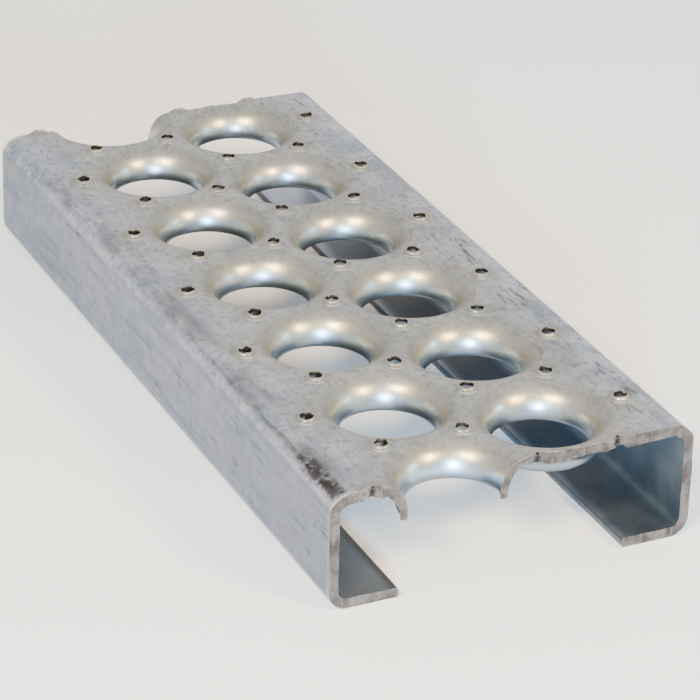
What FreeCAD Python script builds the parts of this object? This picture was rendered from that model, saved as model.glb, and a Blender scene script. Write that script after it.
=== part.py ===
import FreeCAD, Part
import math
import os
import sys

import Sketcher

# Scaffold plank: one galvanised steel sheet, punched with two columns of large
# drawn holes and small pierced grip buttons, then folded into a channel.
# The sheet is kept as five regions that meet face to face at its bend lines:
# the flat deck, two side webs with their bends, and two return flanges.
#
# Frame: X along the plank, Y across it, Z up. The origin is the middle of the
# plank's underside, so the flanges rest on Z = 0.

SIZES = [
    ("plank_length", 294.0),
    ("plank_width", 127.0),
    ("plank_height", 40.0),
    ("sheet_thickness", 3.4),
    ("inner_bend_radius", 3.4),
    ("flange_reach", 24.0),
    ("hole_pitch", 49.0),
    ("hole_bore", 31.8),
    ("hole_rounding", 8.3),
    ("hole_land", 0.6),
    ("collar_depth", 11.0),
    ("button_base", 8.0),
    ("button_rim", 5.8),
    ("button_bore", 3.8),
    ("button_height", 1.6),
    ("button_lip", 1.2),
]

# Places across the deck, in column spacings from the middle, and along it, in
# pitches from the start of a repeat. Holes and buttons share one hexagon grid:
# each button stands where three neighbouring holes are equally far away.
HOLE_COLUMNS = [("front", -1 / 2, 0.0), ("back", 1 / 2, 0.5)]
BUTTON_COLUMNS = [
    ("a", -7 / 6, 0.0),
    ("b", -5 / 6, 0.5),
    ("c", -1 / 6, 0.5),
    ("d", 1 / 6, 0.0),
    ("e", 5 / 6, 0.0),
    ("f", 7 / 6, 0.5),
]

doc = FreeCAD.newDocument("scaffold_plank")
sheet = doc.addObject("Spreadsheet::Sheet", "sizes")
for row, (alias, number) in enumerate(SIZES, start=1):
    sheet.set("A%d" % row, alias)
    sheet.set("B%d" % row, str(number))
    sheet.setAlias("B%d" % row, alias)
doc.recompute()

size = {alias: sheet.get(alias) for alias, _ in SIZES}


def cell(alias):
    return "sizes." + alias


# Expressions that several features share
OUTER_BEND = "(sizes.inner_bend_radius + sizes.sheet_thickness)"
BEND_LINE = "(sizes.plank_width / 2 - %s)" % OUTER_BEND
COLUMN_SPACING = "(sizes.hole_pitch * sqrt(3) / 2)"
# A hole's rounding stops short of its neighbour's by at least half the land
ROUNDING = (
    "min(sizes.hole_rounding; (sizes.hole_pitch - sizes.hole_bore - sizes.hole_land) / 2)"
)
FORMED_RADIUS = "(sizes.hole_bore / 2 + %s)" % ROUNDING
REPEATS = "(2 * ceil((sizes.plank_length / 2 + %s) / sizes.hole_pitch))" % FORMED_RADIUS
BLANK_LENGTH = "((%s + 2) * sizes.hole_pitch)" % REPEATS
FIRST_REPEAT = "(-%s / 2 * sizes.hole_pitch)" % REPEATS

outer_bend = size["inner_bend_radius"] + size["sheet_thickness"]
bend_line = size["plank_width"] / 2 - outer_bend
column_spacing = size["hole_pitch"] * math.sqrt(3) / 2
rounding = min(
    size["hole_rounding"], (size["hole_pitch"] - size["hole_bore"] - size["hole_land"]) / 2
)
formed_radius = size["hole_bore"] / 2 + rounding


def point(across, up):
    return FreeCAD.Vector(across, up, 0)


def new_sketch(body, name, plane_role, offset=None):
    """A sketch on one of the body's origin planes, moved by three expressions."""
    sketch = body.newObject("Sketcher::SketchObject", name)
    plane = [item for item in body.Origin.OriginFeatures if item.Role == plane_role][0]
    sketch.AttachmentSupport = [(plane, "")]
    sketch.MapMode = "FlatFace"
    for axis, expression in zip("xyz", offset or []):
        sketch.setExpression("AttachmentOffset.Base." + axis, expression)
    return sketch


def bind(sketch, name, constraint, expression):
    """Add a named size to a sketch and tie it to the sheet."""
    index = sketch.addConstraint(constraint)
    sketch.renameConstraint(index, name)
    sketch.setExpression("Constraints." + name, expression)


def add_line(sketch, start, end):
    return sketch.addGeometry(Part.LineSegment(point(*start), point(*end)), False)


def add_arc(sketch, centre, radius, first_degrees, last_degrees):
    circle = Part.Circle(point(*centre), FreeCAD.Vector(0, 0, 1), radius)
    arc = Part.ArcOfCircle(circle, math.radians(first_degrees), math.radians(last_degrees))
    return sketch.addGeometry(arc, False)


def join(sketch, *pairs):
    for first, first_end, second, second_end in pairs:
        sketch.addConstraint(
            Sketcher.Constraint("Coincident", first, first_end, second, second_end)
        )


def bend_profile(sketch):
    """A side web with its two bends, from bend line to bend line."""
    inner = size["inner_bend_radius"]
    height = size["plank_height"]
    web = size["plank_width"] / 2
    thickness = size["sheet_thickness"]
    low, high = (bend_line, outer_bend), (bend_line, height - outer_bend)

    top_out = add_arc(sketch, high, outer_bend, 0, 90)
    top_in = add_arc(sketch, high, inner, 0, 90)
    low_out = add_arc(sketch, low, outer_bend, 270, 360)
    low_in = add_arc(sketch, low, inner, 270, 360)
    web_out = add_line(sketch, (web, outer_bend), (web, height - outer_bend))
    web_in = add_line(
        sketch, (web - thickness, outer_bend), (web - thickness, height - outer_bend)
    )
    top_end = add_line(sketch, (bend_line, height), (bend_line, height - thickness))
    low_end = add_line(sketch, (bend_line, 0), (bend_line, thickness))

    join(
        sketch,
        (top_out, 3, top_in, 3),
        (low_out, 3, low_in, 3),
        (web_out, 1, low_out, 2),
        (web_out, 2, top_out, 1),
        (web_in, 1, low_in, 2),
        (web_in, 2, top_in, 1),
        (top_end, 1, top_out, 2),
        (top_end, 2, top_in, 2),
        (low_end, 1, low_out, 1),
        (low_end, 2, low_in, 1),
    )
    for arc, level_end in ((top_out, 1), (top_in, 1), (low_out, 2), (low_in, 2)):
        sketch.addConstraint(Sketcher.Constraint("Horizontal", arc, 3, arc, level_end))
    for arc, plumb_end, end_line in ((top_out, 2, top_end), (low_out, 1, low_end)):
        sketch.addConstraint(Sketcher.Constraint("Vertical", arc, 3, arc, plumb_end))
        sketch.addConstraint(Sketcher.Constraint("Vertical", end_line))
    sketch.addConstraint(Sketcher.Constraint("Vertical", top_out, 3, low_out, 3))
    constraint = Sketcher.Constraint
    bind(sketch, "bend_line", constraint("DistanceX", -1, 1, low_out, 3, bend_line), BEND_LINE)
    bind(sketch, "low_bend", constraint("DistanceY", -1, 1, low_out, 3, outer_bend), OUTER_BEND)
    bind(
        sketch, "high_bend",
        constraint("DistanceY", -1, 1, top_out, 3, height - outer_bend),
        "sizes.plank_height - " + OUTER_BEND,
    )
    for name, arc in (("top", top_out), ("low", low_out)):
        bind(sketch, name + "_outer", constraint("Radius", arc, outer_bend), OUTER_BEND)
    for name, arc in (("top", top_in), ("low", low_in)):
        bind(sketch, name + "_inner", constraint("Radius", arc, inner), cell("inner_bend_radius"))


def add_side_web(label, turn):
    body = doc.addObject("PartDesign::Body", label)
    sketch = new_sketch(body, label + "_profile", "YZ_Plane")
    bend_profile(sketch)
    pad = body.newObject("PartDesign::Pad", label + "_sheet")
    pad.Profile = sketch
    pad.SideType = "Symmetric"
    pad.setExpression("Length", cell("plank_length"))
    sketch.Visibility = False
    body.Placement = FreeCAD.Placement(
        FreeCAD.Vector(0, 0, 0), FreeCAD.Rotation(FreeCAD.Vector(0, 0, 1), turn)
    )
    return body


def add_return_flange(label, side):
    """The strip from the lower bend line to the free edge; side is -1 or 1."""
    flange = doc.addObject("Part::Box", label)
    flange.setExpression("Length", cell("plank_length"))
    flange.setExpression("Width", "sizes.flange_reach - " + OUTER_BEND)
    flange.setExpression("Height", cell("sheet_thickness"))
    flange.setExpression("Placement.Base.x", "-sizes.plank_length / 2")
    nearest = "-" + BEND_LINE if side < 0 else "sizes.plank_width / 2 - sizes.flange_reach"
    flange.setExpression("Placement.Base.y", nearest)
    return flange


def hole_profile(sketch):
    """Section of one drawn hole: the sheet rolls over into an upright collar."""
    top = size["plank_height"]
    bore = size["hole_bore"] / 2
    thickness = size["sheet_thickness"]
    lip = top - size["collar_depth"]
    centre = (formed_radius, top - rounding)

    shoulder = add_arc(sketch, centre, rounding, 90, 180)
    underside = add_arc(sketch, centre, rounding - thickness, 90, 180)
    wall_in = add_line(sketch, (bore, top - rounding), (bore, lip))
    edge = add_line(sketch, (bore, lip), (bore + thickness, lip))
    wall_out = add_line(sketch, (bore + thickness, lip), (bore + thickness, top - rounding))
    seam = add_line(sketch, (formed_radius, top - thickness), (formed_radius, top))

    join(
        sketch,
        (shoulder, 3, underside, 3),
        (wall_in, 1, shoulder, 2),
        (edge, 1, wall_in, 2),
        (wall_out, 1, edge, 2),
        (underside, 2, wall_out, 2),
        (seam, 1, underside, 1),
        (shoulder, 1, seam, 2),
    )
    for line in (wall_in, wall_out, seam):
        sketch.addConstraint(Sketcher.Constraint("Vertical", line))
    sketch.addConstraint(Sketcher.Constraint("Horizontal", edge))
    sketch.addConstraint(Sketcher.Constraint("Vertical", shoulder, 3, shoulder, 1))
    sketch.addConstraint(Sketcher.Constraint("Horizontal", shoulder, 3, shoulder, 2))
    sketch.addConstraint(Sketcher.Constraint("Horizontal", underside, 3, underside, 2))
    constraint = Sketcher.Constraint
    bind(
        sketch, "formed_radius",
        constraint("DistanceX", -1, 1, shoulder, 3, formed_radius), FORMED_RADIUS,
    )
    bind(
        sketch, "rounding_height",
        constraint("DistanceY", -1, 1, shoulder, 3, top - rounding),
        "sizes.plank_height - " + ROUNDING,
    )
    bind(sketch, "rounding", constraint("Radius", shoulder, rounding), ROUNDING)
    bind(
        sketch, "under_rounding", constraint("Radius", underside, rounding - thickness),
        ROUNDING + " - sizes.sheet_thickness",
    )
    bind(
        sketch, "lip_height", constraint("DistanceY", -1, 1, edge, 1, lip),
        "sizes.plank_height - sizes.collar_depth",
    )


def button_profile(sketch):
    """Section of one grip button: pierced, pushed up, and hollow underneath."""
    top = size["plank_height"]
    corners = [
        ("base", size["button_base"] / 2, top,
         "sizes.button_base / 2", "sizes.plank_height"),
        ("rim", size["button_rim"] / 2, top + size["button_height"],
         "sizes.button_rim / 2", "sizes.plank_height + sizes.button_height"),
        ("mouth", size["button_bore"] / 2, top + size["button_height"],
         "sizes.button_bore / 2", "sizes.plank_height + sizes.button_height"),
        ("lip", size["button_bore"] / 2, top + size["button_height"] - size["button_lip"],
         "sizes.button_bore / 2",
         "sizes.plank_height + sizes.button_height - sizes.button_lip"),
        ("under", size["button_base"] / 2, top - size["sheet_thickness"],
         "sizes.button_base / 2", "sizes.plank_height - sizes.sheet_thickness"),
    ]
    ends = corners[1:] + corners[:1]
    lines = [add_line(sketch, a[1:3], b[1:3]) for a, b in zip(corners, ends)]
    join(sketch, *[(a, 2, b, 1) for a, b in zip(lines, lines[1:] + lines[:1])])
    constraint = Sketcher.Constraint
    for line, (name, radius, height, radius_rule, height_rule) in zip(lines, corners):
        bind(
            sketch, name + "_radius",
            constraint("DistanceX", -1, 1, line, 1, radius), radius_rule,
        )
        bind(
            sketch, name + "_height",
            constraint("DistanceY", -1, 1, line, 1, height), height_rule,
        )


def add_turned(body, name, along, across, draw_profile):
    """A revolved form of the first repeat, at its place in the hexagon grid."""
    sketch = new_sketch(body, name + "_section", "XZ_Plane", (
        "%s + %s * sizes.hole_pitch" % (FIRST_REPEAT, along),
        "0",
        "-(%s) * %s" % (across, COLUMN_SPACING),
    ))
    draw_profile(sketch)
    turned = body.newObject("PartDesign::Revolution", name)
    turned.Profile = sketch
    turned.ReferenceAxis = (sketch, ["V_Axis"])
    turned.Angle = 360
    sketch.Visibility = False
    return turned


def add_deck(label):
    body = doc.addObject("PartDesign::Body", label)
    constraint = Sketcher.Constraint

    # The flat sheet, longer than the plank so that every repeat is whole
    blank = new_sketch(body, "blank_outline", "XY_Plane", (
        "-%s / 2" % BLANK_LENGTH, "-" + BEND_LINE, cell("plank_height")))
    repeats = 2 * math.ceil((size["plank_length"] / 2 + formed_radius) / size["hole_pitch"])
    blank_length = (repeats + 2) * size["hole_pitch"]
    corners = [(0, 0), (blank_length, 0), (blank_length, 2 * bend_line), (0, 2 * bend_line)]
    sides = [add_line(blank, a, b) for a, b in zip(corners, corners[1:] + corners[:1])]
    join(blank, *[(a, 2, b, 1) for a, b in zip(sides, sides[1:] + sides[:1])])
    join(blank, (sides[0], 1, -1, 1))
    for side, direction in zip(sides, ("Horizontal", "Vertical") * 2):
        blank.addConstraint(constraint(direction, side))
    bind(
        blank, "blank_length",
        constraint("DistanceX", sides[0], 1, sides[0], 2, blank_length), BLANK_LENGTH,
    )
    bind(
        blank, "deck_width",
        constraint("DistanceY", sides[1], 1, sides[1], 2, 2 * bend_line), "2 * " + BEND_LINE,
    )
    flat = body.newObject("PartDesign::Pad", "flat_sheet")
    flat.Profile = blank
    flat.Reversed = True
    flat.setExpression("Length", cell("sheet_thickness"))
    blank.Visibility = False

    # One repeat of the pattern: round openings, then the formed metal in them
    openings = new_sketch(body, "repeat_openings", "XY_Plane", (
        "%s - sizes.hole_pitch" % FIRST_REPEAT, "-sizes.plank_width / 2", cell("plank_height")))
    columns = [("hole_" + name, across, along, FORMED_RADIUS, formed_radius)
               for name, across, along in HOLE_COLUMNS]
    columns += [("button_" + name, across, along, "sizes.button_base / 2",
                 size["button_base"] / 2) for name, across, along in BUTTON_COLUMNS]
    for name, across, along, radius_rule, radius in columns:
        x = (1 + along) * size["hole_pitch"]
        y = size["plank_width"] / 2 + across * column_spacing
        circle = openings.addGeometry(
            Part.Circle(point(x, y), FreeCAD.Vector(0, 0, 1), radius), False)
        bind(
            openings, name + "_along", constraint("DistanceX", -1, 1, circle, 3, x),
            "%s * sizes.hole_pitch" % (1 + along),
        )
        bind(
            openings, name + "_across", constraint("DistanceY", -1, 1, circle, 3, y),
            "sizes.plank_width / 2 + (%s) * %s" % (across, COLUMN_SPACING),
        )
        bind(openings, name + "_radius", constraint("Radius", circle, radius), radius_rule)
    punched = body.newObject("PartDesign::Pocket", "punched_openings")
    punched.Profile = openings
    punched.setExpression("Length", cell("sheet_thickness"))
    openings.Visibility = False

    formed = [punched]
    for name, across, along in HOLE_COLUMNS:
        formed.append(add_turned(body, "drawn_hole_" + name, along, across, hole_profile))
    for name, across, along in BUTTON_COLUMNS:
        formed.append(add_turned(body, "grip_button_" + name, along, across, button_profile))

    pattern = body.newObject("PartDesign::LinearPattern", "hexagon_pattern")
    pattern.Originals = formed
    pattern.Direction = (blank, ["H_Axis"])
    pattern.Mode = "Spacing"
    pattern.setExpression("Offset", cell("hole_pitch"))
    pattern.setExpression("Occurrences", REPEATS)
    body.Tip = pattern

    # Both ends sawn off square at the plank's length
    waste = new_sketch(body, "end_waste", "XY_Plane", (
        "-%s / 2" % BLANK_LENGTH, "-sizes.plank_width / 2", "0"))
    cut = (blank_length - size["plank_length"]) / 2
    for name, start, start_rule in (
        ("near", 0, None),
        ("far", blank_length - cut, "(%s + sizes.plank_length) / 2" % BLANK_LENGTH),
    ):
        corners = [(start, 0), (start + cut, 0), (start + cut, size["plank_width"]),
                   (start, size["plank_width"])]
        sides = [add_line(waste, a, b) for a, b in zip(corners, corners[1:] + corners[:1])]
        join(waste, *[(a, 2, b, 1) for a, b in zip(sides, sides[1:] + sides[:1])])
        for side, direction in zip(sides, ("Horizontal", "Vertical") * 2):
            waste.addConstraint(constraint(direction, side))
        if start_rule is None:
            join(waste, (sides[0], 1, -1, 1))
        else:
            bind(waste, name + "_start",
                 constraint("DistanceX", -1, 1, sides[0], 1, start), start_rule)
            waste.addConstraint(constraint("PointOnObject", sides[0], 1, -1))
        bind(waste, name + "_cut", constraint("DistanceX", sides[0], 1, sides[0], 2, cut),
             "(%s - sizes.plank_length) / 2" % BLANK_LENGTH)
        bind(waste, name + "_width",
             constraint("DistanceY", sides[1], 1, sides[1], 2, size["plank_width"]),
             cell("plank_width"))
    sawn = body.newObject("PartDesign::Pocket", "sawn_ends")
    sawn.Profile = waste
    sawn.Reversed = True
    sawn.setExpression("Length", "sizes.plank_height + sizes.button_height")
    waste.Visibility = False
    body.Tip = sawn
    return body


nodes = [
    add_deck("deck"),
    add_side_web("side_web_front", 180),
    add_side_web("side_web_back", 0),
    add_return_flange("return_flange_front", -1),
    add_return_flange("return_flange_back", 1),
]
doc.recompute()

failed = [item.Name for item in doc.Objects if {"Invalid", "Error"} & set(item.State)]
for node in nodes:
    if node.Shape.isNull() or not node.Shape.isValid() or len(node.Shape.Solids) != 1:
        failed.append(node.Label)
if failed:
    sys.exit("not built: " + ", ".join(failed))

os.makedirs("parts", exist_ok=True)
for node in nodes:
    node.Shape.exportStep("parts/%s.step" % node.Label)
    box = node.Shape.optimalBoundingBox()
    print("%-20s %9.0f mm3  x %.1f..%.1f  y %.1f..%.1f  z %.1f..%.1f" % (
        node.Label, node.Shape.Volume,
        box.XMin, box.XMax, box.YMin, box.YMax, box.ZMin, box.ZMax))
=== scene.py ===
import math

import bmesh
import bpy
from mathutils import Matrix, Vector, noise


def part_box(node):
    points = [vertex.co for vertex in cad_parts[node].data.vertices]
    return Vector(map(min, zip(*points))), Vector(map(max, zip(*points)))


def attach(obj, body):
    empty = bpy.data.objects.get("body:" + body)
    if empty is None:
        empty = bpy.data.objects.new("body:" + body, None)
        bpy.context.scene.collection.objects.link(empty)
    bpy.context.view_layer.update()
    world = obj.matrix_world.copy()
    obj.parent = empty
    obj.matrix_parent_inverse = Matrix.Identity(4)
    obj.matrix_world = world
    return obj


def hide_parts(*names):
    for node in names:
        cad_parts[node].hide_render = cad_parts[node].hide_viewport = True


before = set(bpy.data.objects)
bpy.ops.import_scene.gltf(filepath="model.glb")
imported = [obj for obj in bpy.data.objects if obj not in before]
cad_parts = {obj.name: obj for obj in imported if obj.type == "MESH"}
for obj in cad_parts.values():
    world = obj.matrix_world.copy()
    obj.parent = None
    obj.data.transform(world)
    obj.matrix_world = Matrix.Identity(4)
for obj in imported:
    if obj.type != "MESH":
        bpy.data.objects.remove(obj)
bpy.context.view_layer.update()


# ---------------------------------------------------------------------------
# The punched blank: one flat steel sheet, about 10 gauge. It is punched on a
# hexagon grid, with two columns of round holes and a small grip button wherever
# three neighbouring holes meet. It is laid flat, top face at Z = 0.

MM = 0.001
half_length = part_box("side_web_front")[1][0]
half_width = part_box("side_web_back")[1][1]
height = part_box("side_web_back")[1][2]
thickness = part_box("return_flange_back")[1][2]
bend_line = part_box("deck")[1][1]
flange_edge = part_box("return_flange_back")[0][1]
collar_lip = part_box("deck")[0][2]
bend_radius = half_width - bend_line

pitch = half_length / 3
column_spacing = pitch * math.sqrt(3) / 2
bore_radius = 15.9 * MM
rounding = 8.3 * MM
formed_radius = bore_radius + rounding
button_radius = 4.0 * MM
button_bore = 1.9 * MM

# Rolled out flat, the metal of a rounding and its collar is this far inward
rolled = rounding * math.pi / 2
collar_height = height - collar_lip - rounding
blank_bore = formed_radius - rolled - collar_height

# Each sixth of a hole's tile is half an edge, an arc round a button and half an edge
EDGE_STEPS = 6
ARC_STEPS = 6
SECTOR = 2 * EDGE_STEPS + ARC_STEPS
ROLL_RINGS = 9
BUTTON_RINGS = 8
SIXTH = math.radians(60)
EDGE_ANGLE = math.atan((pitch / 2 / math.sqrt(3) - button_radius) / (pitch / 2))
CORNER = Vector((pitch / 2, pitch / 2 / math.sqrt(3), 0))


def tile_angle(step):
    """Direction of a tile's spoke: evenly spaced along each edge and each corner arc."""
    sector, along = divmod(step, SECTOR)
    corner_angle = SIXTH - 2 * EDGE_ANGLE
    if along <= EDGE_STEPS:
        angle = EDGE_ANGLE * along / EDGE_STEPS
    elif along <= EDGE_STEPS + ARC_STEPS:
        angle = EDGE_ANGLE + corner_angle * (along - EDGE_STEPS) / ARC_STEPS
    else:
        angle = SIXTH - EDGE_ANGLE * (SECTOR - along) / EDGE_STEPS
    return angle + SIXTH * sector


def tile_rim(step):
    """The tile's outline: a hexagon whose corners are bitten off by the buttons."""
    sector, along = divmod(step, SECTOR)
    edge_end = CORNER.y - button_radius
    if along <= EDGE_STEPS:
        rim = Vector((CORNER.x, edge_end * along / EDGE_STEPS, 0))
    elif along <= EDGE_STEPS + ARC_STEPS:
        turn = math.radians(270 - 120 * (along - EDGE_STEPS) / ARC_STEPS)
        rim = CORNER + button_radius * Vector((math.cos(turn), math.sin(turn), 0))
    else:
        rim = Vector((CORNER.x, -edge_end * (SECTOR - along) / EDGE_STEPS, 0))
        rim.rotate(Matrix.Rotation(SIXTH, 3, "Z"))
    rim.rotate(Matrix.Rotation(SIXTH * sector, 3, "Z"))
    return rim


def nearest_centre(place, columns):
    """The closest centre in a set of columns, each given as (across, shift along)."""
    centres = [Vector(((round(place.x / pitch - shift) + shift) * pitch,
                       across * column_spacing, 0)) for across, shift in columns]
    return min(centres, key=lambda centre: (centre.xy - place.xy).length)


def grow_ring(bm, edges):
    """Extrude a ring of edges and give back the new vertices and edges."""
    made = bmesh.ops.extrude_edge_only(bm, edges=edges)["geom"]
    return ([item for item in made if isinstance(item, bmesh.types.BMVert)],
            [item for item in made if isinstance(item, bmesh.types.BMEdge)])


def ring_edges(ring):
    """The edges of a new circle, each once and always in the same order."""
    return list(dict.fromkeys(edge for vert in ring for edge in vert.link_edges))


def resize_ring(bm, verts, centre, share):
    bmesh.ops.scale(bm, vec=Vector((share,) * 3), verts=verts,
                    space=Matrix.Translation(-centre))


sheet_bm = bmesh.new()
spoke = sheet_bm.verts.layers.int.new("spoke")
tile_radii = [blank_bore + collar_height * k / 2 for k in range(2)]
tile_radii += [formed_radius - rolled * (1 - k / ROLL_RINGS) for k in range(ROLL_RINGS + 1)]

# Columns are (across in column spacings, shift along in pitches)
hole_columns = [(-1 / 2, 0.0), (1 / 2, 0.5)]
for across, shift in hole_columns:
    for k in range(-4, 4) if shift else range(-3, 4):
        centre = Vector(((k + shift) * pitch, across * column_spacing, 0))
        ring = bmesh.ops.create_circle(
            sheet_bm, segments=6 * SECTOR, radius=tile_radii[0])["verts"]
        for step, vert in enumerate(ring):
            vert[spoke] = step
            angle = tile_angle(step)
            vert.co = centre + tile_radii[0] * Vector((math.cos(angle), math.sin(angle), 0))
        edges = ring_edges(ring)
        for inner, outer in zip(tile_radii, tile_radii[1:]):
            verts, edges = grow_ring(sheet_bm, edges)
            resize_ring(sheet_bm, verts, centre, outer / inner)
        verts, edges = grow_ring(sheet_bm, edges)
        for vert in verts:
            vert.co = centre + tile_rim(vert[spoke])

# Grip buttons: a disc of metal round each small pierced hole
button_columns = [(7 / 6, 0.5), (5 / 6, 0.0), (1 / 6, 0.0),
                  (-1 / 6, 0.5), (-5 / 6, 0.5), (-7 / 6, 0.0)]
button_radii = [button_radius + (button_bore - button_radius) * k / BUTTON_RINGS
                for k in range(BUTTON_RINGS + 1)]
for across, shift in button_columns:
    for k in range(-4, 5):
        centre = Vector(((k + shift) * pitch, across * column_spacing, 0))
        if abs(centre.x) > half_length + button_radius:
            continue
        ring = bmesh.ops.create_circle(
            sheet_bm, segments=3 * ARC_STEPS, radius=button_radius,
            matrix=Matrix.Translation(centre))["verts"]
        edges = ring_edges(ring)
        for outer, inner in zip(button_radii, button_radii[1:]):
            verts, edges = grow_ring(sheet_bm, edges)
            resize_ring(sheet_bm, verts, centre, inner / outer)
weld_reach = 0.02 * MM
bmesh.ops.remove_doubles(sheet_bm, verts=sheet_bm.verts, dist=weld_reach)

# Plain margins: the tiles' jagged outer edge carried out to the bend lines, then
# the rest of the sheet row by row, for the upper bend, web, lower bend and flange
tiny = 0.01 * MM
a_little = 0.1 * MM
fan_depth = 20 * MM
outermost_buttons = column_spacing * 5 / 6 - button_radius * 1.01
bend = bend_radius * math.pi / 2
web = height - 2 * bend_radius
flange = bend_line - flange_edge
for side, shift in ((1, 0.0), (-1, 0.5)):
    row = side * column_spacing * 3 / 2
    jagged = [edge for edge in sheet_bm.edges if edge.is_boundary and all(
        side * vert.co.y > outermost_buttons
        and abs(vert.co.x) < half_length + pitch / 2 + a_little
        and (vert.co - nearest_centre(vert.co, button_columns)).length > button_radius * 0.9
        for vert in edge.verts)]
    verts, edges = grow_ring(sheet_bm, jagged)
    for vert in verts:
        middle = (round(vert.co.x / pitch - shift) + shift) * pitch
        offset = vert.co.x - middle
        if abs(abs(offset) - pitch / 2) > tiny:
            fan = row + side * fan_depth
            offset *= (side * bend_line - fan) / (vert.co.y - fan)
        vert.co.x = middle + offset
        vert.co.y = side * bend_line
    for run, rows in ((bend, 7), (web, 9), (bend, 7), (flange, 4)):
        for _ in range(rows):
            verts, edges = grow_ring(sheet_bm, edges)
            bmesh.ops.translate(sheet_bm, verts=verts, vec=Vector((0, side * run / rows, 0)))

# Sawn to length
saw_reach = 0.001 * MM
for side in (1, -1):
    everything = sheet_bm.verts[:] + sheet_bm.edges[:] + sheet_bm.faces[:]
    bmesh.ops.bisect_plane(sheet_bm, geom=everything, dist=saw_reach,
                           plane_co=(side * half_length, 0, 0), plane_no=(side, 0, 0),
                           clear_outer=True)

# Given its thickness: the blank's top face is at Z = 0 and depth runs down
bmesh.ops.recalc_face_normals(sheet_bm, faces=sheet_bm.faces)
if sheet_bm.faces[0].normal.z < 0:
    bmesh.ops.reverse_faces(sheet_bm, faces=sheet_bm.faces)
thick = bmesh.ops.extrude_face_region(sheet_bm, geom=sheet_bm.faces[:], use_keep_orig=True)["geom"]
under = [item for item in thick if isinstance(item, bmesh.types.BMVert)]
bmesh.ops.translate(sheet_bm, verts=under, vec=Vector((0, 0, -thickness)))
upright = [edge for edge in sheet_bm.edges
           if abs(edge.verts[0].co.z - edge.verts[1].co.z) > thickness / 2]
bmesh.ops.subdivide_edges(sheet_bm, edges=upright, cuts=3, use_grid_fill=False)
bmesh.ops.recalc_face_normals(sheet_bm, faces=sheet_bm.faces)


# ---------------------------------------------------------------------------
# Forming: each hole's edge is drawn down over a die into an upright collar, and the
# small holes are pierced upwards, so they stand proud as hollow buttons with a torn
# rim. Then the sides are folded twice, and the plank is sawn to length.

button_height = 1.55 * MM
mouth_dip = 0.25
underside_rise = 0.2
bore_smear = 0.94
cut_button_height = 0.8
cut_button_rise = 0.35
collar_thinning = 0.22
edge_rounding = 0.45 * MM


def smooth_step(low, high, value):
    t = min(max((value - low) / (high - low), 0.0), 1.0)
    return t * t * (3 - 2 * t)


def waviness(place, grain, height_of_wave, seed):
    """A smooth random height, for metal that is never quite flat."""
    return height_of_wave * noise.noise(place / grain + Vector((seed, seed * 1.7, seed * 0.3)))


def draw_hole(flat, hole, depth):
    """Roll the metal near a hole over the die and down its collar, a quarter of an oval."""
    away = Vector((flat.x - hole.x, flat.y - hole.y, 0))
    share = (formed_radius - away.length) / (formed_radius - blank_bore)
    turn = share * math.pi / 2
    drop = height - collar_lip
    normal = Vector((-math.sin(turn) / rounding, math.cos(turn) / drop)).normalized()
    thick = depth * (1 - collar_thinning * smooth_step(0, 1, share))
    radius = formed_radius - rounding * math.sin(turn) - normal.x * thick
    up = height - drop * (1 - math.cos(turn)) - normal.y * thick
    return Vector((hole.x, hole.y, up)) + radius * away.normalized()


def raise_button(flat, button, depth):
    """Push the metal near a pierced hole up into a hollow button, smeared shut if it is cut."""
    away = (flat - button).xy.length
    share = (button_radius - away) / (button_radius - button_bore)
    is_cut = abs(button.x) > half_length - 1 * MM
    if is_cut:
        flat = flat + (button - flat) * bore_smear * share ** 2
    top = button_height * (smooth_step(-0.06, 0.78, share)
                           - mouth_dip * smooth_step(0.74, 1.0, share))
    bottom = -thickness + (thickness + button_height * underside_rise) * smooth_step(
        0.0, 0.95, share)
    spot = Vector((flat.x, flat.y, 0))
    torn_rim = smooth_step(0.5, 1.0, share)
    top += waviness(spot, 1.4 * MM, 0.85 * MM, 41.0) * torn_rim
    flat = flat + (flat - button).xy.to_3d().normalized() * (
        waviness(spot, 1.6 * MM, 0.6 * MM, 53.0) * torn_rim)
    if is_cut:
        top *= cut_button_height
        bottom = -thickness + (bottom + thickness) * cut_button_rise
    return Vector((flat.x, flat.y, height + top + (bottom - top) * depth / thickness))


def fold(place, side, past, depth):
    """Wrap the metal past a bend line round the side of the channel."""
    inner = bend_radius - depth
    if past < bend:
        turn = past / bend_radius
        y, z = bend_line + inner * math.sin(turn), height - bend_radius + inner * math.cos(turn)
    elif past < bend + web:
        y, z = bend_line + inner, height - bend_radius - (past - bend)
    elif past < 2 * bend + web:
        turn = (past - bend - web) / bend_radius
        y, z = bend_line + inner * math.cos(turn), bend_radius - inner * math.sin(turn)
    else:
        y, z = bend_line - (past - 2 * bend - web), depth
    return Vector((place.x, side * y, z))


def oval_tilt(hole_inward):
    """How steep a rolled hole's face is, from 0 when flat to 1 when upright."""
    oval = min(max(hole_inward / (formed_radius - blank_bore), 0.0), 1.0) * math.pi / 2
    return math.atan2(math.sin(oval) / rounding,
                      math.cos(oval) / (height - collar_lip)) / (math.pi / 2)


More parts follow.
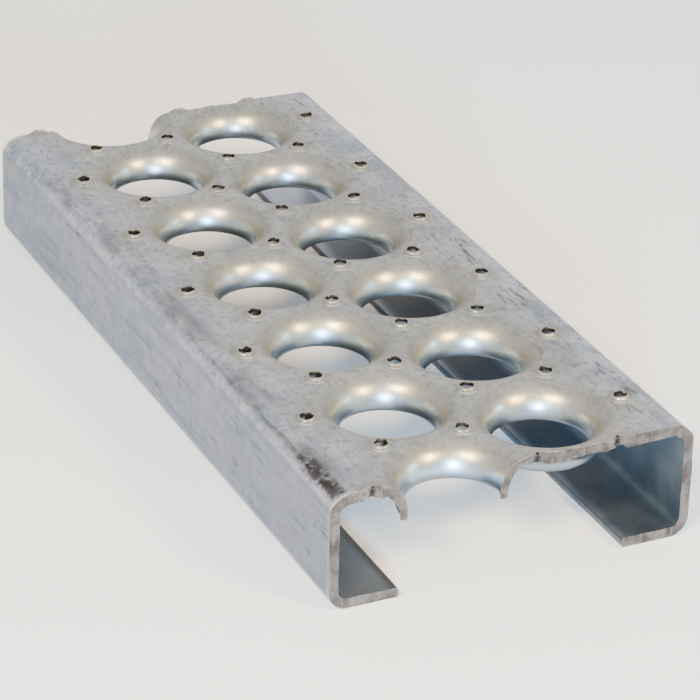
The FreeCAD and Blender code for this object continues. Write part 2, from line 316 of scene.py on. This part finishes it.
# Layers that the finish reads: sawn face, steepness, worked metal, bore and depth
blank_edge = bend_line + 2 * bend + web + flange
sawn = sheet_bm.verts.layers.float.new("sawn")
roll = sheet_bm.verts.layers.float.new("roll")
warm = sheet_bm.verts.layers.float.new("warm")
mouth = sheet_bm.verts.layers.float.new("mouth")
inside = sheet_bm.verts.layers.float.new("inside")
# Button flanks are given this steepness: it burnishes them and puts the painted cream highlight on
# them
button_burnish_and_highlight_tilt = 0.56
for vert in sheet_bm.verts:
    flat = vert.co.copy()
    depth = -flat.z
    edge_round = edge_rounding * (2 * abs(depth / thickness - 0.5)) ** 3
    hole = nearest_centre(flat, hole_columns)
    button = nearest_centre(flat, button_columns)
    past = abs(flat.y) - bend_line
    hole_inward = formed_radius - (flat - hole).xy.length
    to_button = (flat - button).xy.length
    vert[sawn] = 1.0 if abs(abs(flat.x) - half_length) < tiny else 0.0
    vert[inside] = depth / thickness
    vert[mouth] = 1 - smooth_step(button_bore, button_bore + 1.1 * MM, to_button)
    vert[warm] = max(smooth_step(-8 * MM, 5 * MM, hole_inward),
                     1 - smooth_step(button_radius - 1 * MM, button_radius + 2 * MM, to_button))
    vert[roll] = oval_tilt(hole_inward)
    if to_button < button_radius:
        vert[roll] = button_burnish_and_highlight_tilt * (
            1 - smooth_step(button_radius - 1.2 * MM, button_radius, to_button))
        vert.co = raise_button(flat, button, depth)
    elif hole_inward > 0:
        if hole_inward > formed_radius - blank_bore - a_little:
            outward = (flat - hole).xy.normalized() * edge_round
            flat += Vector((outward.x, outward.y, 0))
        vert.co = draw_hole(flat, hole, depth)
    elif past > 0:
        if abs(flat.y) > blank_edge - a_little:
            past -= edge_round
        vert.co = fold(flat, math.copysign(1, flat.y), past, depth)
    else:
        vert.co = Vector((flat.x, flat.y, height - depth))

# Where the folded sheet isn't flat: shallow dents and a little twist in the webs
sheet_bm.normal_update()
for vert in sheet_bm.verts:
    swell = waviness(vert.co, 26 * MM, 0.16 * MM, 3.1) + waviness(vert.co, 9 * MM, 0.05 * MM, 7.7)
    on_side = abs(vert.co.y) > bend_line
    lift = Vector((0, math.copysign(swell, vert.co.y), 0)) if on_side else Vector((0, 0, swell))
    if vert.co.z > bend_radius:
        vert.co += lift

# Sawn ends: a coarse blade leaves the cut ragged, with burrs along its edges, and
# pulls down the two hooks where it went through a hole at the near end
saw_bite = 0.35 * MM
hook_hang = 1.9 * MM
burr_hang = 1.4 * MM
burr_nick = 0.8 * MM
for vert in sheet_bm.verts:
    if vert[sawn] < 0.5:
        continue
    end = math.copysign(1, vert.co.x)
    torn = (saw_bite + waviness(vert.co, 6 * MM, 0.45 * MM, 11.0)
            + waviness(vert.co, 1.6 * MM, 0.3 * MM, 5.0))
    vert.co.x -= end * max(torn, 0.0)
    if vert.co.z < bend_radius:
        continue
    if end > 0 and vert[roll] > 0.8:
        vert.co.z -= hook_hang * smooth_step(0.8, 1.0, vert[roll])
    elif vert[inside] > 0.9:
        hang = waviness(vert.co, 2.4 * MM, 1.7 * MM, 23.0) - waviness(vert.co, 7 * MM, 0.9 * MM, 2.0)
        vert.co.z -= min(max(hang, -burr_nick), burr_hang)
    elif vert[inside] < 0.1 and vert[roll] < 0.01:
        vert.co.z += max(waviness(vert.co, 2.2 * MM, 1.2 * MM, 31.0), -a_little)

mesh = bpy.data.meshes.new("scaffold_plank")
for face in sheet_bm.faces:
    face.smooth = True
    face.material_index = 1 if all(vert[sawn] > 0.5 for vert in face.verts) else 0
for edge in sheet_bm.edges:
    edge.smooth = len({face.material_index for face in edge.link_faces}) == 1
sheet_bm.to_mesh(mesh)
sheet_bm.free()
plank = bpy.data.objects.new("scaffold_plank", mesh)
bpy.context.collection.objects.link(plank)
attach(plank, "root")
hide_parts("deck", "side_web_front", "side_web_back",
            "return_flange_front", "return_flange_back")


# ---------------------------------------------------------------------------
# The galvanised finish: zinc from a hot dip, matt and mottled, with a faint spangle.
# Where the dies have drawn the metal it is burnished, with a thin straw tint, and its
# rolled faces carry painted highlights and painted shade. Handling leaves scuffs, and
# the saw leaves bare brown steel at the ends.


class Finish:
    """A material, with the one way that its nodes are added."""

    def __init__(self, name):
        self.material = bpy.data.materials.new(name)
        self.material.use_nodes = True
        self.tree = self.material.node_tree
        self.tree.nodes.clear()
        output = self.tree.nodes.new("ShaderNodeOutputMaterial")
        self.shader = self.tree.nodes.new("ShaderNodeBsdfPrincipled")
        self.tree.links.new(self.shader.outputs[0], output.inputs[0])
        self.coordinates = None

    def node(self, kind, settings=None, inputs=None):
        """Settings first, then values or links. Outputs by name, or by number if names repeat."""
        made = self.tree.nodes.new(kind)
        for name, value in (settings or {}).items():
            setattr(made, name, value)
        for name, value in (inputs or {}).items():
            self.plug(made.inputs[name], value)
        outputs = [Socket(self, output) for output in made.outputs]
        return dict(enumerate(outputs)) | {made.socket.name: made for made in outputs}

    def plug(self, target, value):
        """Link a socket, or set a plain value or colour."""
        if isinstance(value, Socket):
            self.tree.links.new(value.socket, target)
        else:
            target.default_value = (*value, 1.0) if target.type == "RGBA" else value

    def set_shader(self, **inputs):
        """Set the shader's sockets, their names written with _ for a space."""
        for name, value in inputs.items():
            self.plug(self.shader.inputs[name.replace("_", " ")], value)

    def place(self):
        """Object coordinates, from one node for the whole material."""
        self.coordinates = self.coordinates or self.node("ShaderNodeTexCoord")["Object"]
        return self.coordinates

    def layer(self, name):
        """One of the layers that forming left on the sheet."""
        return self.node("ShaderNodeAttribute", {"attribute_name": name})["Fac"]

    def cloud(self, scale, detail=3.0, roughness=0.55, where=None):
        return self.node("ShaderNodeTexNoise", None, {
            "Vector": where or self.place(), "Scale": scale, "Detail": detail,
            "Roughness": roughness})["Fac"]

    def stretched(self, scales, turn=(0, 0, 0)):
        return self.node("ShaderNodeMapping", None, {
            "Vector": self.place(), "Scale": scales, "Rotation": turn})["Vector"]

    def bump(self, height_of_relief, strength):
        return self.node("ShaderNodeBump", None, {
            "Height": height_of_relief, "Strength": strength, "Distance": 0.7 * MM})["Normal"]


class Socket:
    """A value in a material, so that shader maths reads as ordinary maths."""

    def __init__(self, finish, socket):
        self.finish, self.socket = finish, socket

    def math(self, operation, other):
        return self.finish.node("ShaderNodeMath", {"operation": operation}, {0: self, 1: other})[0]

    def __add__(self, other):
        return self.math("ADD", other)

    def __sub__(self, other):
        return self.math("SUBTRACT", other)

    def __rsub__(self, other):
        return (self * -1) + other

    def __mul__(self, other):
        return self.math("MULTIPLY", other)

    __radd__ = __add__
    __rmul__ = __mul__

    def between(self, low, high):
        """0 below low, 1 above high, smooth in the middle."""
        return self.finish.node("ShaderNodeMapRange", {"interpolation_type": "SMOOTHSTEP"}, {
            "Value": self, "From Min": low, "From Max": high})["Result"]

    def clamp(self):
        return self.math("MINIMUM", 1.0).math("MAXIMUM", 0.0)

    def mix(self, low, high):
        """Blend two colours by this value. Inputs 6 and 7 and output 2 are the colours."""
        return self.finish.node("ShaderNodeMix", {"data_type": "RGBA"}, {
            "Factor": self, 6: low, 7: high})[2]


zinc = Finish("hot_dip_galvanised")
turned = zinc.layer("roll")
warmed = zinc.layer("warm")
in_mouth = zinc.layer("mouth")
under_side = zinc.layer("inside")
by_cut = zinc.layer("sawn")
spots = zinc.node("ShaderNodeSeparateXYZ", None, {"Vector": zinc.place()})
along, across, up = spots["X"], spots["Y"], spots["Z"]
near_side = across * -1

mottle = zinc.cloud(110, 5, 0.6)
speckle = zinc.cloud(420, 4, 0.65)
patches = zinc.cloud(24, 3)
spangle = zinc.node("ShaderNodeTexVoronoi", None, {"Vector": zinc.place(), "Scale": 300})["Color"]
spangle_tone = zinc.node("ShaderNodeSeparateColor", None, {"Color": spangle})["Red"]
streaks = zinc.cloud(1, 4, 0.6, zinc.stretched((22, 260, 260), (0, 0.35, 0.12)))
hairlines = zinc.cloud(
    1, 2, 0.5, zinc.stretched((40, 1500, 1500), (0.4, 0.3, 0.5))).between(0.64, 0.72)
on_web = (across * across).between((half_width - 0.9 * MM) ** 2, (half_width - 0.1 * MM) ** 2)
on_top = up.between(height - 5.5 * MM, height - 2.5 * MM)

# Plain zinc: blue-grey and lilac clouds under a fine speckle and long soft streaks
blue_grey, lilac_grey, frost = (0.30, 0.345, 0.41), (0.45, 0.42, 0.50), (0.55, 0.56, 0.60)
speckle_grey, spangle_grey = (0.16, 0.17, 0.21), (0.22, 0.24, 0.28)
streak_grey, scratch_white = (0.17, 0.19, 0.235), (0.60, 0.61, 0.62)
web_shade_grey = (0.085, 0.11, 0.145)
grey = patches.between(0.36, 0.64).mix(blue_grey, lilac_grey)
grey = (mottle.between(0.42, 0.6) * 0.65).mix(grey, frost)
grey = (speckle.between(0.5, 0.66) * (0.62 - on_web * 0.36)).mix(grey, speckle_grey)
grey = (spangle_tone * 0.12).mix(grey, spangle_grey)
grey = (streaks.between(0.52, 0.66) * (0.3 + on_web * 0.3)).mix(grey, streak_grey)
grey = (hairlines * 0.35).mix(grey, scratch_white)
# Painted shade: the outer webs are darkened, a little more towards the near end
grey = (on_web * (0.57 + along.between(0.0, 130 * MM) * 0.1)).mix(grey, web_shade_grey)

# Handling: short dark scuffs on the far margin, a few nicks in the near web, and a
# worn brown patch along the near bend by the saw cut. Besides these, the deck is made
# darker in a soft band along the near bend and in patches on the far margin
darker_grey, scuff_brown = (0.12, 0.115, 0.118), (0.036, 0.030, 0.028)
far_margin = across.between(34 * MM, 44 * MM)
rubs = zinc.cloud(1, 3, 0.65, zinc.stretched((80, 420, 420), (0, 0, -0.75))).between(0.54, 0.61)
rubbed = rubs * zinc.cloud(46, 2).between(0.47, 0.56) * (far_margin * on_top * 0.6 + 0.08)
near_bend = (along.between(110 * MM, 126 * MM) * near_side.between(55.5 * MM, 58.5 * MM)
             * on_top * (1 - near_side.between(61.2 * MM, 62.8 * MM)))
crease = (along.between(-20 * MM, 100 * MM) * near_side.between(59.2 * MM, 60.2 * MM)
          * (1 - near_side.between(60.6 * MM, 61.6 * MM)) * on_top)
crease_breaks = zinc.cloud(1, 3, 0.6, zinc.stretched((90, 400, 400))).between(0.42, 0.56)
worn = (near_bend * zinc.cloud(260, 5, 0.75).between(0.33, 0.54)
        + crease * crease_breaks * 0.6)
nicks = (near_side.between(half_width - 1 * MM, half_width - 0.1 * MM)
         * rubs * zinc.cloud(62, 2).between(0.57, 0.65) * 0.4)
die_mark = (turned.between(0.09, 0.13) * (1 - turned.between(0.15, 0.20))
            * across.between(34 * MM, 40 * MM) * zinc.cloud(70, 2).between(0.36, 0.5) * 0.55)
marks = (rubbed + nicks + die_mark + worn * 0.9).clamp()
band_clouds = zinc.cloud(1, 3, 0.6, zinc.stretched((26, 90, 90))).between(0.40, 0.62)
# Darker: a soft band along the near bend and cloudy patches on the far margin
darker_bands = (near_side.between(48 * MM, 57 * MM) * on_top
          * (1 - near_side.between(60.2 * MM, 62.5 * MM)) * (band_clouds * 0.5 + 0.14)
          + far_margin * on_top * zinc.cloud(60, 3).between(0.45, 0.6) * 0.22)
grey = darker_bands.mix(grey, darker_grey)
grey = marks.mix(grey, scuff_brown)

# Where the metal is drawn it is burnished with a straw tint. Over that, by steepness,
# the rolled faces get painted reflections: a cream warm highlight, a pale blue cold
# highlight, painted shade in slate blue, and a dark painted shade at the lip.
# The lip of a sawn edge gets a painted highlight, and the pierced mouths are painted black and brown
# as shade.
straw_light, straw_dark = (0.335, 0.315, 0.232), (0.225, 0.215, 0.175)
painted_warm_highlight, painted_cold_highlight = (0.47, 0.425, 0.31), (0.34, 0.45, 0.56)
painted_slate_shade, painted_lip_shade = (0.115, 0.155, 0.205), (0.07, 0.075, 0.085)
painted_edge_highlight, mouth_shade_black, mouth_shade_brown = (0.72, 0.71, 0.69), (0.012, 0.010, 0.009), (0.05, 0.037, 0.03)
straw = speckle.between(0.4, 0.75).mix(straw_light, straw_dark)
finish = (warmed * (0.55 + mottle * 0.42)).mix(grey, straw)
# Painted by steepness: cream warm highlight, pale blue cold highlight, slate shade, dark lip shade
finish = (turned.between(0.3, 0.62) * 0.55).mix(finish, painted_warm_highlight)
finish = (turned.between(0.66, 0.84) * 0.8).mix(finish, painted_cold_highlight)
finish = (turned.between(0.82, 0.95) * 0.9).mix(finish, painted_slate_shade)
finish = (turned.between(0.985, 1.0) * 0.6).mix(finish, painted_lip_shade)
# Painted highlight along the sawn edges, weaker on the webs
finish = (by_cut.between(0.45, 0.9) * (0.7 - on_web * 0.55)).mix(finish, painted_edge_highlight)
# Painted shade in the pierced mouths, black with brown flecks
mouth_shade = speckle.between(0.4, 0.7).mix(mouth_shade_black, mouth_shade_brown)
ragged_mouth = (in_mouth + zinc.cloud(900, 3, 0.6) * 0.9).between(1.0, 1.28)
finish = ragged_mouth.mix(finish, mouth_shade)

# Inside the channel: clean zinc in its own shadow, and the flanges' dark raw edges
shade_dark, shade_light = (0.105, 0.135, 0.17), (0.155, 0.185, 0.215)
shade_far, shade_near = (0.40, 0.42, 0.46), (0.185, 0.195, 0.21)
raw_edge = (0.085, 0.095, 0.11)
hidden = under_side.between(0.6, 0.95) * (1 - turned.between(0.75, 0.95))
shade = mottle.between(0.3, 0.7).mix(shade_dark, shade_light)
shade = (along * -1).between(-138 * MM, 30 * MM).mix(shade, shade_far)
shade = near_side.between(30 * MM, 38 * MM).mix(shade, shade_near)
finish = hidden.mix(finish, shade)
by_raw_edge = 1 - (across * across).between(
    (flange_edge + 0.2 * MM) ** 2, (flange_edge + 0.6 * MM) ** 2)
below_top = 1 - up.between(thickness - 0.6 * MM, thickness - 0.3 * MM)
finish = (by_raw_edge * below_top * 0.85).mix(finish, raw_edge)

burnish = turned.between(0.1, 0.5)
rough = (0.42 + mottle * 0.18 + speckle * 0.1 - burnish * 0.24 - hidden * 0.14 + marks * 0.2
         + in_mouth * 0.3)
relief = (mottle * 0.5 + speckle * 0.35 + streaks * 0.3 - hairlines * (1 - hidden) * 0.2
          - marks * 0.3) * (1 - hidden * 0.92)
zinc.set_shader(Base_Color=finish, Metallic=0.88, Roughness=rough.clamp(),
                Normal=zinc.bump(relief * (1 - burnish * 0.8), 0.75))

# The sawn ends: brown, smeared steel with tooth marks, and a painted shadow for the hollow at each
# cut button
steel = Finish("sawn_steel")
steel_dark, steel_brown = (0.045, 0.033, 0.030), (0.125, 0.103, 0.092)
rust_black, pit_shadow_black = (0.022, 0.016, 0.014), (0.010, 0.009, 0.009)
tooth_bright = (0.20, 0.185, 0.172)
smear = steel.cloud(650, 4)
stain = steel.cloud(120, 3)
teeth = steel.cloud(1, 3, 0.6, steel.stretched((900, 900, 120), (0.5, 0, 0)))
base = stain.between(0.35, 0.65).mix(steel_dark, steel_brown)
base = (smear.between(0.52, 0.72) * 0.75).mix(base, rust_black)
base = (teeth.between(0.5, 0.7) * 0.3).mix(base, tooth_bright)
# Painted shadow where the cut passes through a button's hollow
pit_shadow = steel.layer("mouth").between(0.3, 0.8) * steel.layer("inside").between(0.05, 0.3) * 0.85
base = pit_shadow.mix(base, pit_shadow_black)
steel.set_shader(Base_Color=base, Metallic=0.45, Roughness=(0.46 + smear * 0.35).clamp(),
                 Normal=steel.bump(smear + stain * 0.7 + teeth * 0.8, 0.8))

mesh.materials.append(zinc.material)
mesh.materials.append(steel.material)


# ---------------------------------------------------------------------------
# Studio: a plain pale floor, a soft white surround, large soft lights and the
# camera, which stands low beyond the near end with a long lens.

floor_size = 6.0
floor_gap = 0.5 * MM
floor_mesh = bpy.data.meshes.new("floor")
floor_bm = bmesh.new()
bmesh.ops.create_grid(floor_bm, x_segments=1, y_segments=1, size=floor_size)
floor_bm.to_mesh(floor_mesh)
floor_bm.free()
floor = bpy.data.objects.new("floor", floor_mesh)
floor.location.z = -floor_gap
bpy.context.collection.objects.link(floor)
pale = Finish("pale_floor")
pale.set_shader(Base_Color=(0.94, 0.945, 0.96), Roughness=0.9)
floor_mesh.materials.append(pale.material)

world = bpy.data.worlds.new("studio")
bpy.context.scene.world = world
world.use_nodes = True
surround = world.node_tree.nodes["Background"]
surround.inputs["Color"].default_value = (0.90, 0.94, 1.0, 1)
surround.inputs["Strength"].default_value = 1.05

centre = Vector((0, 0, height / 2))


def soft_light(name, bearing, rise, distance, size, power, colour):
    """A soft panel aimed at the plank, placed by its bearing and height in the sky, in degrees."""
    bearing, rise = math.radians(bearing), math.radians(rise)
    place = centre + distance * Vector((math.cos(bearing) * math.cos(rise),
                                        math.sin(bearing) * math.cos(rise), math.sin(rise)))
    light = bpy.data.objects.new(name, bpy.data.lights.new(name, "AREA"))
    light.data.shape = "RECTANGLE"
    light.data.size, light.data.size_y = size
    light.data.energy = power
    light.data.color = colour
    light.location = place
    light.rotation_euler = (centre - place).to_track_quat("-Z", "Y").to_euler()
    bpy.context.collection.objects.link(light)


soft_light("cold_window", -20, 11, 1.6, (0.20, 0.17), 72, (0.42, 0.71, 1.0))
soft_light("warm_lamp_left", -46, 40, 1.7, (0.40, 0.34), 50, (1.0, 0.77, 0.46))
soft_light("warm_lamp_right", 26, 33, 1.7, (0.34, 0.30), 34, (1.0, 0.74, 0.36))
soft_light("blue_fill", 62, 10, 1.7, (0.4, 0.4), 12, (0.5, 0.78, 1.0))
soft_light("backdrop", 155, 30, 2.2, (2.4, 0.9), 5, (0.97, 0.98, 1.0))

camera_place = Vector((0.9509, -0.4445, 0.5438))
camera_aim = Vector((0.0237, 0.0006, 0.020))
camera_roll = math.radians(1.64)
camera = bpy.data.objects.new("camera", bpy.data.cameras.new("camera"))
bpy.context.collection.objects.link(camera)
bpy.context.scene.camera = camera
camera.data.lens = 174.0
camera.data.sensor_width = 36.0
facing = (camera_aim - camera_place).to_track_quat("-Z", "Y").to_matrix().to_4x4()
camera.matrix_world = (Matrix.Translation(camera_place) @ facing
                       @ Matrix.Rotation(camera_roll, 4, "Z"))
